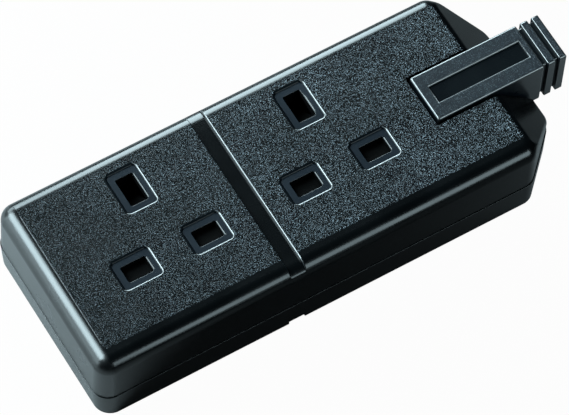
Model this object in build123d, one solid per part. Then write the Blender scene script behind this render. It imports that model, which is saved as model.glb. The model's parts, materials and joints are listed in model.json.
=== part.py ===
from build123d import *
import os
from math import radians, sqrt, tan

# Two-outlet trailing socket for plugs with three flat pins, millimetres.
# Origin: on the surface it lies on, under the middle of the whole length and width.
# +X runs to the cable end, +Y to the earth side, +Z up.

# Plug pattern, fixed by the plug standard
PIN_SPACING = 22.225  # between the two pins of the row, and from the row to the earth pin
LINE_PIN_X = 6.35
LINE_PIN_Y = 4.0
LINE_PIN_LENGTH = 17.7
EARTH_PIN_X = 4.0
EARTH_PIN_Y = 8.0

# Housing
BODY_LENGTH = 152.2
BODY_WIDTH = 60.0
BASE_HEIGHT = 10.1
COVER_HEIGHT = 17.3
WALL = 2.4
TOP_WALL = 2.8
FLOOR = 3.0
BASE_LEDGE = 0.25  # the base stands this far outside the cover at the parting line
COVER_DRAFT = 0.5  # degrees, walls lean in towards the top
BASE_DRAFT = 0.5  # degrees, walls lean in towards the bottom
CLOSED_END_LEAN = 4.5  # degrees, the base leans in more at the closed end
CORNER_RADIUS = 5.2
INNER_CORNER = 1.0  # smallest corner of the hollow
TOP_EDGE_RADIUS = 4.5
BOTTOM_EDGE_RADIUS = 0.4

# Cable end
END_CHAMFER = 13.4  # legs of the two corner chamfers seen from above
END_CORNER_RADIUS = 5.0  # rounding where the corner chamfers meet the walls
RAMP_RUN = 13.2
RAMP_DROP = 13.5
RAMP_BLEND = 4.0  # rounding between the top and the ramp
RAMP_BREAK = 0.65  # share of the rounding kept at the top, where it ends in a faint edge
RAMP_EDGE_RADIUS = 1.4

# Cross groove over the top and notch across the underside
GROOVE_WIDTH = 4.6
GROOVE_DEPTH = 1.1
GROOVE_EASE = 1.5  # the groove floor rounds over the long edges by this much more than the top does
NOTCH_WIDTH = 5.2
NOTCH_DEPTH = 1.6

# Outlets
OUTLET_SHARE = 0.2352  # from the closed end to the first outlet, as a share of the length
PITCH_SHARE = 0.3518  # from one outlet to the next, as a share of the length
PIN_ROW_Y = -6.4
SLOT_CLEARANCE = 1.3  # a slot is wider and longer than its pin by this much
SLOT_BORDER = 1.9  # width of the smooth recessed frame round each slot
SLOT_RECESS = 0.5
SLOT_CORNER = 0.5
FRAME_CORNER = 1.0

# Cable sleeve
SLEEVE_WIDTH = 15.5
SLEEVE_REACH = 10.2  # stands out of the end face by this much
SLEEVE_LENGTH = 42.2
SLEEVE_RISE = 0.9  # stands over the top face by this much
SLEEVE_LIFT = 0.8  # underside over the parting plane
SLEEVE_GAP = 0.9
SLEEVE_EDGE = 0.7
SLEEVE_BORE_RADIUS = 5.0
SLEEVE_BORE_UNDER = 1.7  # wall left under the bore
SLEEVE_MOUTH = 1.2  # chamfer at the bore's outer end
TONGUE_LENGTH = 6.5  # only the roof of the sleeve reaches over the cord clamp
TONGUE_THICKNESS = 3.4
COLLAR_FROM_END = 22.2
COLLAR_THICKNESS = 3.0
COLLAR_WIDTH = 21.0
COLLAR_HEIGHT = 9.5
RIB_WIDTH = 2.3
RIB_GROOVE_WIDTH = 1.4
RIB_GROOVE_DEPTH = 1.0
PANEL_LENGTH = 29.5  # recess in the sleeve's top
PANEL_WIDTH = 5.6
PANEL_DEPTH = 0.7
PANEL_FROM_INNER_END = 3.3

# Joint between cover and base
LIP_GAP = 0.15
LIP_WALL = 1.2
LIP_HEIGHT = 1.5

# Fits
RUN_GAP = 0.3  # between pieces that slide
LOOSE_GAP = 0.1  # between a peg or shank and its hole

# Cover screws, from underneath
SCREW_RADIUS = 1.5
SCREW_LENGTH = 14.0
SCREW_HEAD_RADIUS = 3.2
SCREW_HEAD_HEIGHT = 2.3
SCREW_CROSS = 3.6  # length of the driver cross in the head
SCREW_CROSS_WIDTH = 0.8
SCREW_CROSS_DEPTH = 1.2
COUNTERBORE_GAP = 0.4
COUNTERBORE_DEPTH = 3.4
BOSS_RADIUS = 3.4
PILLAR_RADIUS = 5.5
MIDDLE_SCREW_Y = 11.0
END_SCREW_FROM_CHAMFER = 8.5

# Shutters
SHUTTER_THICKNESS = 2.0
SHUTTER_HALF_WIDTH = 15.8
SHUTTER_COVER = 0.7  # overlap past a slot's edge
SHUTTER_STROKE = 6.4
SHUTTER_ARM_WIDTH = 6.4
WEDGE_DROP = 7.0
WEDGE_FOOT = 0.6
WEDGE_BACK = 3.0  # solid behind the top of the ramp
SPRING_RADIUS = 1.1
SPRING_WIRE = 0.36
SPRING_TURNS = 8
SPRING_FROM_WALL = 3.6  # fixed end of the spring, from the inside of the front wall
SPIGOT_LENGTH = 2.4

# Shutter retainers
RETAINER_THICKNESS = 1.6
RETAINER_FROM_WALL = 2.45  # front and back edges, from the inside of the long walls
RETAINER_HOLE_GAP = 0.6
RAIL_WIDTH = 3.0
PEG_RADIUS = 1.0
PEG_HEAD_RADIUS = 1.7
PEG_HEAD = 0.7
REAR_PEG_X = 10.0
REAR_POST_RADIUS = 2.2
SPRING_POST_THICKNESS = 1.6
SPRING_POST_WIDTH = 6.0

# Busbars and jaws
BAR_THICKNESS = 0.8
PIN_TIP_GAP = 1.5  # from the tip of a row pin down to the bar
BAR_WIDTH = 4.4
LIVE_BAR_INSET = 14.0  # middle line, from the front of the housing
NEUTRAL_BAR_Y = 1.5
EARTH_BAR_INSET = 7.1  # middle line, from the back of the housing
JAW_FOOT_GAP = 0.4  # a leaf's foot stands off the pin by this much
JAW_GRIP = 0.25  # a leaf's throat springs back into the pin's space by this much
JAW_FLARE = 0.6  # a leaf's lip stands off the pin by this much
JAW_FOOT_RISE = 1.0
JAW_THROAT_RISE = 4.6
JAW_RISE = 7.8
EARTH_TAB_WIDTH = 1.6
BAR_PEG_RADIUS = 1.1
BAR_PEG_RISE = 1.0
BED_INSET = 0.6  # a bar overhangs its bed by this much

# Terminals
TERMINAL_LENGTH = 7.0
TERMINAL_WIDTH = 5.6
TERMINAL_HEIGHT = 8.6
TERMINAL_FROM_SLEEVE = 13.8  # from the block's inner face to the sleeve
WIRE_HOLE_RADIUS = 1.7
WIRE_HOLE_RISE = 2.7
TERMINAL_SCREW_RADIUS = 1.5
TERMINAL_SCREW_HEAD_RADIUS = 2.5
TERMINAL_SCREW_HEAD = 2.0
TERMINAL_SCREW_LIFT = 0.5  # head over the block while no wire is in
SCREW_SLOT_WIDTH = 0.8
SCREW_SLOT_DEPTH = 0.9
BARRIER_WALL = 1.2
BARRIER_LIFT = 5.0  # top over the parting plane

# Cord clamp
CLAMP_LENGTH = 25.0
CLAMP_WIDTH = 6.4
CLAMP_THICKNESS = 3.0
CLAMP_CORNER = 3.0
CLAMP_LIFT = 7.5  # underside over the parting plane
CLAMP_FROM_SLEEVE = 0.4  # middle of the clamp from the sleeve's inner end
CLAMP_SCREW_Y = 9.2
CLAMP_SCREW_RADIUS = 1.4
CLAMP_SCREW_LENGTH = 12.0
CLAMP_SCREW_HEAD_RADIUS = 2.5
CLAMP_SCREW_HEAD = 2.0
CLAMP_PILLAR_RADIUS = 3.1
CLAMP_RIDGE = 0.8
CLAMP_RIDGE_WIDTH = 1.6
CLAMP_RIDGE_LENGTH = 10.0
SADDLE_LIFT = 2.0  # cord rests this far over the parting plane
SADDLE_WIDTH = 12.0
SADDLE_THICKNESS = 2.0
STOP_WIDTH = 3.0
STOP_RISE = 4.0

# Places that follow from the sizes
LINE_SLOT_X = LINE_PIN_X + SLOT_CLEARANCE
LINE_SLOT_Y = LINE_PIN_Y + SLOT_CLEARANCE
EARTH_SLOT_X = EARTH_PIN_X + SLOT_CLEARANCE
EARTH_SLOT_Y = EARTH_PIN_Y + SLOT_CLEARANCE
TOP = BASE_HEIGHT + COVER_HEIGHT
CEILING = TOP - TOP_WALL
X_LEFT = -(BODY_LENGTH + SLEEVE_REACH) / 2
X_END = X_LEFT + BODY_LENGTH
X_SLEEVE_END = X_END + SLEEVE_REACH
X_SLEEVE = X_SLEEVE_END - SLEEVE_LENGTH
LEFT_X = X_LEFT + OUTLET_SHARE * BODY_LENGTH
RIGHT_X = LEFT_X + PITCH_SHARE * BODY_LENGTH
GROOVE_X = (LEFT_X + RIGHT_X) / 2
EARTH_Y = PIN_ROW_Y + PIN_SPACING
INNER_Y = BODY_WIDTH / 2 - BASE_LEDGE - WALL
SHUTTER_TOP = CEILING - RUN_GAP
SHUTTER_BOTTOM = SHUTTER_TOP - SHUTTER_THICKNESS
RETAINER_TOP = SHUTTER_BOTTOM - RUN_GAP
RETAINER_BOTTOM = RETAINER_TOP - RETAINER_THICKNESS
SHUTTER_BACK = PIN_ROW_Y + LINE_SLOT_Y / 2 + SHUTTER_COVER
SHUTTER_FRONT = PIN_ROW_Y - LINE_SLOT_Y / 2 - SHUTTER_COVER
RAMP_TOP_Y = EARTH_Y - EARTH_PIN_Y / 2
RAMP_FOOT_Y = RAMP_TOP_Y + SHUTTER_STROKE
SPRING_Z = (SHUTTER_TOP + SHUTTER_BOTTOM) / 2
SPRING_END_Y = SPRING_FROM_WALL - INNER_Y
SPRING_LENGTH = SHUTTER_FRONT - SPRING_END_Y
RETAINER_Y = INNER_Y - RETAINER_FROM_WALL
SLEEVE_TOP = TOP + SLEEVE_RISE
SLEEVE_BOTTOM = BASE_HEIGHT + SLEEVE_LIFT
SLEEVE_BORE_Z = SLEEVE_BOTTOM + SLEEVE_BORE_UNDER + SLEEVE_BORE_RADIUS
CLAMP_X = X_SLEEVE + CLAMP_FROM_SLEEVE
CLAMP_BOTTOM = BASE_HEIGHT + CLAMP_LIFT
SADDLE_TOP = BASE_HEIGHT + SADDLE_LIFT
BARRIER_TOP = BASE_HEIGHT + BARRIER_LIFT
TERMINAL_X0 = X_SLEEVE - TERMINAL_FROM_SLEEVE
TERMINAL_X1 = TERMINAL_X0 + TERMINAL_LENGTH
TERMINAL_X = (TERMINAL_X0 + TERMINAL_X1) / 2
COLLAR_X1 = X_SLEEVE_END - COLLAR_FROM_END
COLLAR_X0 = COLLAR_X1 - COLLAR_THICKNESS
BAR_TOP = TOP - LINE_PIN_LENGTH - PIN_TIP_GAP
BAR_BOTTOM = BAR_TOP - BAR_THICKNESS
LIVE_BAR_Y = LIVE_BAR_INSET - BODY_WIDTH / 2
EARTH_BAR_Y = BODY_WIDTH / 2 - EARTH_BAR_INSET
SCREW_SEAT = COUNTERBORE_DEPTH
REACH = 20.0  # large cutters run this far past the body
PAST = 1.0  # small cutters run this far past a face
ROOT = 0.4  # added pieces sink this far into what carries them


def block(x0, x1, y0, y1, z0, z1):
    """Box between two corners."""
    middle = Pos((x0 + x1) / 2, (y0 + y1) / 2, (z0 + z1) / 2)
    return middle * Box(x1 - x0, y1 - y0, z1 - z0)


def upright(x, y, z0, z1, radius):
    """Cylinder standing along Z."""
    return Pos(x, y, (z0 + z1) / 2) * Cylinder(radius, z1 - z0)


def along_x(x0, x1, y, z, radius):
    """Cylinder lying along X."""
    return Pos((x0 + x1) / 2, y, z) * Rot(0, 90, 0) * Cylinder(radius, x1 - x0)


def along_y(x, y0, y1, z, radius):
    """Cylinder lying along Y."""
    return Pos(x, (y0 + y1) / 2, z) * Rot(90, 0, 0) * Cylinder(radius, y1 - y0)


def profile_yz(points, x, width):
    """Outline given as (y, z), widened both ways along X."""
    face = make_face(Plane.YZ * Polyline(*points, close=True))
    return Pos(x, 0, 0) * extrude(face, amount=width / 2, dir=(1, 0, 0), both=True)


def profile_xz(points, y, width):
    """Outline given as (x, z), widened both ways along Y."""
    face = make_face(Plane.XZ * Polyline(*points, close=True))
    return Pos(0, y, 0) * extrude(face, amount=width / 2, dir=(0, 1, 0), both=True)


def housing_plan(inset, z, end_inset=None):
    """Plan of the housing at one height: rounded closed end, chamfered cable end."""
    half = BODY_WIDTH / 2 - inset
    left = X_LEFT + (inset if end_inset is None else end_inset)
    right = X_END - inset
    leg = END_CHAMFER - inset * (2 - sqrt(2))
    lower = [(left, -half), (right - leg, -half), (right, -half + leg)]
    upper = [(x, -y) for x, y in reversed(lower)]
    plan = make_face(Polyline(*lower, *upper, close=True))
    plan = fillet(plan.vertices().sort_by(Axis.X)[:2], max(CORNER_RADIUS - inset, INNER_CORNER))
    plan = fillet(plan.vertices().sort_by(Axis.X)[-4:], max(END_CORNER_RADIUS - inset, INNER_CORNER))
    return Pos(0, 0, z) * plan


def ramp_cut(inset, blend):
    """Everything above the ramp of the cable end."""
    slope = sqrt(RAMP_RUN**2 + RAMP_DROP**2)
    level = TOP - inset
    start = X_END - RAMP_RUN - inset * (slope - RAMP_RUN) / RAMP_DROP
    end = (start + 2 * RAMP_RUN, level - 2 * RAMP_DROP)
    tangent = blend * (slope - RAMP_RUN) / RAMP_DROP
    over = (start - RAMP_BREAK * tangent, level)
    under = (start + tangent * RAMP_RUN / slope, level - tangent * RAMP_DROP / slope)
    bend = TangentArc(under, over, tangent=(-RAMP_RUN, RAMP_DROP))
    rest = Polyline(over, (over[0], TOP + REACH), (end[0], TOP + REACH), end, under)
    face = make_face(Plane.XZ * Curve([bend, rest]))
    return extrude(face, amount=BODY_WIDTH, dir=(0, 1, 0), both=True)


def screw_places():
    """Where the cover screws stand."""
    edge = WALL + LIP_GAP + LIP_WALL + RUN_GAP + BOSS_RADIUS + BASE_LEDGE
    side = BODY_WIDTH / 2 - edge
    left = X_LEFT + edge
    right = X_END - END_CHAMFER - END_SCREW_FROM_CHAMFER
    corners = [(x, y) for x in (left, right) for y in (-side, side)]
    return corners + [(GROOVE_X, MIDDLE_SCREW_Y)]


def slots(outlet):
    """Middle and opening size of the three slots of one outlet."""
    row = [(outlet + side * PIN_SPACING / 2, PIN_ROW_Y, LINE_SLOT_X, LINE_SLOT_Y) for side in (-1, 1)]
    return row + [(outlet, EARTH_Y, EARTH_SLOT_X, EARTH_SLOT_Y)]


def slot_cut(x, y, size_x, size_y):
    """Recessed frame and through opening of one slot."""
    frame = RectangleRounded(size_x + 2 * SLOT_BORDER, size_y + 2 * SLOT_BORDER, FRAME_CORNER)
    opening = RectangleRounded(size_x, size_y, SLOT_CORNER)
    recess = Pos(x, y, TOP - SLOT_RECESS) * extrude(frame, amount=SLOT_RECESS + PAST)
    through = Pos(x, y, CEILING - PAST) * extrude(opening, amount=TOP_WALL + 2 * PAST)
    return recess + through


def groove_cut():
    """Cross groove that follows the long edges down."""
    floor = TOP - GROOVE_DEPTH
    flat = BODY_WIDTH / 2 - BASE_LEDGE - TOP_EDGE_RADIUS
    out = BODY_WIDTH / 2 + ROOT
    blend = TOP_EDGE_RADIUS + GROOVE_EASE
    sink = blend - sqrt(blend**2 - (out - flat) ** 2)
    bend = TangentArc((flat, floor), (out, floor - sink), tangent=(1, 0))
    rest = Polyline((out, floor - sink), (out, TOP + PAST), (0, TOP + PAST), (0, floor), (flat, floor))
    half = make_face(Plane.YZ * Curve([bend, rest]))
    cut = extrude(half, amount=GROOVE_WIDTH / 2, dir=(1, 0, 0), both=True)
    return Pos(GROOVE_X, 0, 0) * (cut + mirror(cut, about=Plane.XZ))


def peg_places(outlet):
    """Where the four retainer pegs of one outlet stand."""
    rail_x = SHUTTER_HALF_WIDTH + RUN_GAP + RAIL_WIDTH / 2
    front = [(outlet + side * rail_x, SHUTTER_FRONT) for side in (-1, 1)]
    rear = [(outlet + side * REAR_PEG_X, EARTH_Y) for side in (-1, 1)]
    return front + rear


def shutter_seat(outlet):
    """Rails, posts and pegs under the cover's ceiling for one shutter."""
    rail_in = SHUTTER_HALF_WIDTH + RUN_GAP
    rail_out = rail_in + RAIL_WIDTH
    seat = []
    for side in (-1, 1):
        x0, x1 = sorted((outlet + side * rail_in, outlet + side * rail_out))
        seat.append(block(x0, x1, -RETAINER_Y, SHUTTER_BACK, RETAINER_TOP, CEILING + ROOT))
        post_x = outlet + side * REAR_PEG_X
        seat.append(upright(post_x, EARTH_Y, RETAINER_TOP, CEILING + ROOT, REAR_POST_RADIUS))
    for x, y in peg_places(outlet):
        seat.append(upright(x, y, RETAINER_BOTTOM - PEG_HEAD, RETAINER_TOP + ROOT, PEG_RADIUS))
        seat.append(upright(x, y, RETAINER_BOTTOM - PEG_HEAD, RETAINER_BOTTOM, PEG_HEAD_RADIUS))
    x0 = outlet - SPRING_POST_WIDTH / 2
    x1 = outlet + SPRING_POST_WIDTH / 2
    post_front = SPRING_END_Y - SPRING_POST_THICKNESS
    seat.append(block(x0, x1, post_front, SPRING_END_Y, RETAINER_BOTTOM, CEILING + ROOT))
    return seat


def make_top_cover():
    blank = extrude(housing_plan(BASE_LEDGE, BASE_HEIGHT), amount=COVER_HEIGHT, taper=COVER_DRAFT)
    blank = fillet(blank.faces().sort_by(Axis.Z)[-1].edges(), TOP_EDGE_RADIUS)
    blank = blank - ramp_cut(0, RAMP_BLEND)
    flats = blank.faces().filter_by(GeomType.PLANE)
    ramp = flats.sort_by(lambda face: face.normal_at().X * face.normal_at().Z)[-1]
    blank = fillet(ramp.edges().sort_by(Axis.Z)[:-1], RAMP_EDGE_RADIUS)
    hollow = extrude(housing_plan(BASE_LEDGE + WALL, BASE_HEIGHT), amount=COVER_HEIGHT - TOP_WALL)
    cover = blank - (hollow - ramp_cut(TOP_WALL, RAMP_BLEND))
    inside = []
    for outlet in (LEFT_X, RIGHT_X):
        inside = inside + shutter_seat(outlet)
    for x, y in screw_places():
        inside.append(upright(x, y, BASE_HEIGHT, CEILING + ROOT, BOSS_RADIUS))
    cover = cover + inside
    cuts = [groove_cut()]
    for outlet in (LEFT_X, RIGHT_X):
        cuts = cuts + [slot_cut(*slot) for slot in slots(outlet)]
    for x, y in screw_places():
        pilot_top = SCREW_SEAT + SCREW_LENGTH + PAST
        cuts.append(upright(x, y, BASE_HEIGHT - PAST, pilot_top, SCREW_RADIUS + LOOSE_GAP))
    half = SLEEVE_WIDTH / 2 + SLEEVE_GAP
    cuts.append(block(X_SLEEVE - SLEEVE_GAP, X_END + REACH, -half, half, BASE_HEIGHT - PAST, TOP + PAST))
    return cover - cuts


def bar_places(name):
    """Middle line of a bar, its jaws and which way it has to reach for them."""
    if name == "live":
        return LIVE_BAR_Y, [LEFT_X + PIN_SPACING / 2, RIGHT_X + PIN_SPACING / 2]
    if name == "neutral":
        return NEUTRAL_BAR_Y, [LEFT_X - PIN_SPACING / 2, RIGHT_X - PIN_SPACING / 2]
    return EARTH_BAR_Y, [LEFT_X, RIGHT_X]


def bar_start(name):
    """Closed-end edge of a bar."""
    line, jaws = bar_places(name)
    if name == "earth":
        return jaws[0] - EARTH_PIN_X / 2 - JAW_FOOT_GAP - EARTH_TAB_WIDTH
    return jaws[0] - LINE_PIN_X / 2


def bar_peg_places(name):
    """Where the base's pegs come up through a bar."""
    line, jaws = bar_places(name)
    return [(jaws[0] + PIN_SPACING / 2, line), (jaws[1] - PIN_SPACING / 2, line)]


def make_base_cover():
    lean = BASE_HEIGHT * tan(radians(BASE_DRAFT))
    end_lean = BASE_HEIGHT * tan(radians(CLOSED_END_LEAN))
    shell = loft([housing_plan(lean, 0, end_lean), housing_plan(0, BASE_HEIGHT)], ruled=True)
    shell = fillet(shell.faces().sort_by(Axis.Z)[0].edges(), BOTTOM_EDGE_RADIUS)
    inset = BASE_LEDGE + WALL
    shell = shell - extrude(housing_plan(inset, FLOOR), amount=BASE_HEIGHT)
    lip_out = inset + LIP_GAP
    lip_in = lip_out + LIP_WALL
    root = extrude(housing_plan(inset - ROOT, BASE_HEIGHT - LIP_HEIGHT), amount=LIP_HEIGHT)
    lip = extrude(housing_plan(lip_out, BASE_HEIGHT), amount=LIP_HEIGHT)
    hole = extrude(housing_plan(lip_in, BASE_HEIGHT - LIP_HEIGHT), amount=2 * LIP_HEIGHT)
    half_gap = SLEEVE_WIDTH / 2 + SLEEVE_GAP
    way_out = block(X_END - END_CHAMFER, X_END, -half_gap, half_gap, BASE_HEIGHT, TOP)
    base = shell + ((root + lip) - hole - way_out)
    inside = []
    for x, y in screw_places():
        inside.append(upright(x, y, FLOOR - ROOT, BASE_HEIGHT, PILLAR_RADIUS))
    for name in ("live", "neutral", "earth"):
        inside = inside + bar_bed(name)
    for side in (-1, 1):
        inside.append(upright(CLAMP_X, side * CLAMP_SCREW_Y, FLOOR - ROOT, CLAMP_BOTTOM, CLAMP_PILLAR_RADIUS))
    half = SADDLE_WIDTH / 2
    thick = SADDLE_THICKNESS / 2
    inside.append(block(CLAMP_X - thick, CLAMP_X + thick, -half, half, FLOOR - ROOT, SADDLE_TOP))
    rest = COLLAR_X0 - SADDLE_THICKNESS
    inside.append(block(rest - SADDLE_THICKNESS, rest, -half, half, FLOOR - ROOT, SLEEVE_BOTTOM))
    rim = SLEEVE_WIDTH / 2
    inside.append(block(X_END - WALL, X_END - BASE_LEDGE, -rim, rim, BASE_HEIGHT - ROOT, SLEEVE_BOTTOM))
    for side in (-1, 1):
        y0, y1 = sorted((side * half_gap, side * (half_gap + STOP_WIDTH)))
        stop = SLEEVE_BOTTOM + STOP_RISE
        after = COLLAR_X1 + RUN_GAP
        before = COLLAR_X0 - RUN_GAP
        inside.append(block(after, after + SADDLE_THICKNESS, y0, y1, FLOOR - ROOT, stop))
        inside.append(block(before - SADDLE_THICKNESS, before, y0, y1, FLOOR - ROOT, stop))
    for y in ((LIVE_BAR_Y + NEUTRAL_BAR_Y) / 2, (NEUTRAL_BAR_Y + EARTH_BAR_Y) / 2):
        y0 = y - BARRIER_WALL / 2
        y1 = y + BARRIER_WALL / 2
        inside.append(block(TERMINAL_X0 - PAST, TERMINAL_X1 + PAST, y0, y1, FLOOR - ROOT, BARRIER_TOP))
    base = base + inside
    notch = NOTCH_WIDTH / 2
    cuts = [block(GROOVE_X - notch, GROOVE_X + notch, -BODY_WIDTH, BODY_WIDTH, -PAST, NOTCH_DEPTH)]
    for x, y in screw_places():
        cuts.append(upright(x, y, -PAST, SCREW_SEAT, SCREW_HEAD_RADIUS + COUNTERBORE_GAP))
        cuts.append(upright(x, y, 0, BASE_HEIGHT + PAST, SCREW_RADIUS + RUN_GAP))
    for side in (-1, 1):
        tip = CLAMP_BOTTOM + CLAMP_THICKNESS - CLAMP_SCREW_LENGTH - PAST
        cuts.append(upright(CLAMP_X, side * CLAMP_SCREW_Y, tip, TOP, CLAMP_SCREW_RADIUS + LOOSE_GAP))
    return base - cuts


def bar_bed(name):
    """Ridge of the base under a bar, with its pegs."""
    line, jaws = bar_places(name)
    half = BAR_WIDTH / 2 - BED_INSET
    x0 = bar_start(name) + BED_INSET
    x1 = TERMINAL_X1 - BED_INSET
    bed = [block(x0, x1, line - half, line + half, FLOOR - ROOT, BAR_BOTTOM)]
    for x, y in bar_peg_places(name):
        bed.append(upright(x, y, BAR_BOTTOM - ROOT, BAR_TOP + BAR_PEG_RISE, BAR_PEG_RADIUS))
    return bed


def jaw_leaf(side, across, pin):
    """Outline of one sprung leaf beside a pin, as (across, z) points."""
    foot = pin / 2 + JAW_FOOT_GAP
    throat = pin / 2 - JAW_GRIP
    inner = [(foot, 0), (foot, JAW_FOOT_RISE), (throat, JAW_THROAT_RISE), (pin / 2 + JAW_FLARE, JAW_RISE)]
    outer = [(gap + BAR_THICKNESS, rise) for gap, rise in reversed(inner)]
    return [(across + side * gap, BAR_TOP - BAR_THICKNESS / 2 + rise) for gap, rise in inner + outer]


def make_line_bar(name):
    """Live or neutral busbar: flat strip, two side tabs, two pairs of leaves."""
    line, jaws = bar_places(name)
    half = BAR_WIDTH / 2
    bar = block(bar_start(name), TERMINAL_X1, line - half, line + half, BAR_BOTTOM, BAR_TOP)
    reach = LINE_PIN_Y / 2 + JAW_FOOT_GAP + BAR_THICKNESS
    tab = LINE_PIN_X / 2
    for x in jaws:
        y0 = min(line, PIN_ROW_Y - reach)
        y1 = max(line, PIN_ROW_Y + reach)
        bar = bar + block(x - tab, x + tab, y0, y1, BAR_BOTTOM, BAR_TOP)
        for side in (-1, 1):
            bar = bar + profile_yz(jaw_leaf(side, PIN_ROW_Y, LINE_PIN_Y), x, LINE_PIN_X)
    for x, y in bar_peg_places(name):
        bar = bar - upright(x, y, BAR_BOTTOM - PAST, BAR_TOP + PAST, BAR_PEG_RADIUS + LOOSE_GAP)
    return bar


def make_earth_bar():
    """Earth busbar: flat strip with a fork and a pair of leaves at each outlet."""
    line, jaws = bar_places("earth")
    half = BAR_WIDTH / 2
    bar = block(bar_start("earth"), TERMINAL_X1, line - half, line + half, BAR_BOTTOM, BAR_TOP)
    near = EARTH_Y - EARTH_PIN_Y / 2
    foot = EARTH_PIN_X / 2 + JAW_FOOT_GAP
    for x in jaws:
        for side in (-1, 1):
            x0, x1 = sorted((x + side * foot, x + side * (foot + EARTH_TAB_WIDTH)))
            bar = bar + block(x0, x1, near, line, BAR_BOTTOM, BAR_TOP)
            bar = bar + profile_xz(jaw_leaf(side, x, EARTH_PIN_X), EARTH_Y, EARTH_PIN_Y)
    for x, y in bar_peg_places("earth"):
        bar = bar - upright(x, y, BAR_BOTTOM - PAST, BAR_TOP + PAST, BAR_PEG_RADIUS + LOOSE_GAP)
    return bar


def make_terminal(line):
    """Brass block on the end of a bar, bored for the wire and its screw."""
    half = TERMINAL_WIDTH / 2
    body = block(TERMINAL_X0, TERMINAL_X1, line - half, line + half, BAR_TOP, BAR_TOP + TERMINAL_HEIGHT)
    wire_z = BAR_TOP + WIRE_HOLE_RISE
    wire = along_x(TERMINAL_X0 - PAST, TERMINAL_X1 + PAST, line, wire_z, WIRE_HOLE_RADIUS)
    top = BAR_TOP + TERMINAL_HEIGHT
    thread = upright(TERMINAL_X, line, wire_z, top + PAST, TERMINAL_SCREW_RADIUS + LOOSE_GAP)
    return body - wire - thread


def slotted_screw(x, y, seat, tip, radius, head_radius, head):
    """Cheese-head screw standing along Z with its head up."""
    screw = upright(x, y, tip, seat, radius) + upright(x, y, seat, seat + head, head_radius)
    half = SCREW_SLOT_WIDTH / 2
    top = seat + head
    wide = head_radius + PAST
    slot = block(x - wide, x + wide, y - half, y + half, top - SCREW_SLOT_DEPTH, top + PAST)
    return screw - slot


def make_terminal_screws():
    seat = BAR_TOP + TERMINAL_HEIGHT + TERMINAL_SCREW_LIFT
    tip = BAR_TOP + WIRE_HOLE_RISE + WIRE_HOLE_RADIUS
    radius = TERMINAL_SCREW_RADIUS
    head_radius = TERMINAL_SCREW_HEAD_RADIUS
    screws = []
    for line in (LIVE_BAR_Y, NEUTRAL_BAR_Y, EARTH_BAR_Y):
        screws.append(slotted_screw(TERMINAL_X, line, seat, tip, radius, head_radius, TERMINAL_SCREW_HEAD))
    return Compound(screws)


def make_cord_clamp():
    half = CLAMP_LENGTH / 2
    x0 = CLAMP_X - CLAMP_WIDTH / 2
    x1 = CLAMP_X + CLAMP_WIDTH / 2
    bar = block(x0, x1, -half, half, CLAMP_BOTTOM, CLAMP_BOTTOM + CLAMP_THICKNESS)
    bar = fillet(bar.edges().filter_by(Axis.Z), CLAMP_CORNER)
    ridge = CLAMP_RIDGE_WIDTH / 2
    reach = CLAMP_RIDGE_LENGTH / 2
    low = CLAMP_BOTTOM - CLAMP_RIDGE
    bar = bar + block(CLAMP_X - ridge, CLAMP_X + ridge, -reach, reach, low, CLAMP_BOTTOM + ROOT)
    radius = CLAMP_SCREW_RADIUS + LOOSE_GAP
    for side in (-1, 1):
        bar = bar - upright(CLAMP_X, side * CLAMP_SCREW_Y, low, CLAMP_BOTTOM + CLAMP_THICKNESS + PAST, radius)
    return bar


def make_cord_clamp_screws():
    seat = CLAMP_BOTTOM + CLAMP_THICKNESS
    tip = seat - CLAMP_SCREW_LENGTH
    radius = CLAMP_SCREW_RADIUS
    head_radius = CLAMP_SCREW_HEAD_RADIUS
    screws = []
    for side in (-1, 1):
        y = side * CLAMP_SCREW_Y
        screws.append(slotted_screw(CLAMP_X, y, seat, tip, radius, head_radius, CLAMP_SCREW_HEAD))
    return Compound(screws)


def make_cover_screws():
    screws = []
    for x, y in screw_places():
        bottom = SCREW_SEAT - SCREW_HEAD_HEIGHT
        screw = upright(x, y, bottom, SCREW_SEAT, SCREW_HEAD_RADIUS)
        screw = screw + upright(x, y, SCREW_SEAT, SCREW_SEAT + SCREW_LENGTH, SCREW_RADIUS)
        long = SCREW_CROSS / 2
        short = SCREW_CROSS_WIDTH / 2
        deep = bottom + SCREW_CROSS_DEPTH
        screw = screw - block(x - long, x + long, y - short, y + short, bottom - PAST, deep)
        screw = screw - block(x - short, x + short, y - long, y + long, bottom - PAST, deep)
        screws.append(screw)
    return Compound(screws)


def make_shutter(outlet):
    """Plate over the two row slots, arm, ramp under the earth slot, spring spigot."""
    half = SHUTTER_HALF_WIDTH
    plate = block(outlet - half, outlet + half, SHUTTER_FRONT, SHUTTER_BACK, SHUTTER_BOTTOM, SHUTTER_TOP)
    arm = SHUTTER_ARM_WIDTH / 2
    back = RAMP_TOP_Y - WEDGE_BACK
    root = SHUTTER_BACK - ROOT
    plate = plate + block(outlet - arm, outlet + arm, root, back + ROOT, SHUTTER_BOTTOM, SHUTTER_TOP)
    foot = SHUTTER_TOP - WEDGE_DROP
    ramp = [
        (back, SHUTTER_TOP),
        (RAMP_TOP_Y, SHUTTER_TOP),
        (RAMP_FOOT_Y, foot),
        (RAMP_FOOT_Y, foot - WEDGE_FOOT),
        (back, foot - WEDGE_FOOT),
    ]
    plate = plate + profile_yz(ramp, outlet, SHUTTER_ARM_WIDTH)
    spigot = SPRING_RADIUS - SPRING_WIRE - LOOSE_GAP
    return plate + along_y(outlet, SHUTTER_FRONT - SPIGOT_LENGTH, SHUTTER_FRONT + ROOT, SPRING_Z, spigot)


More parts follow.
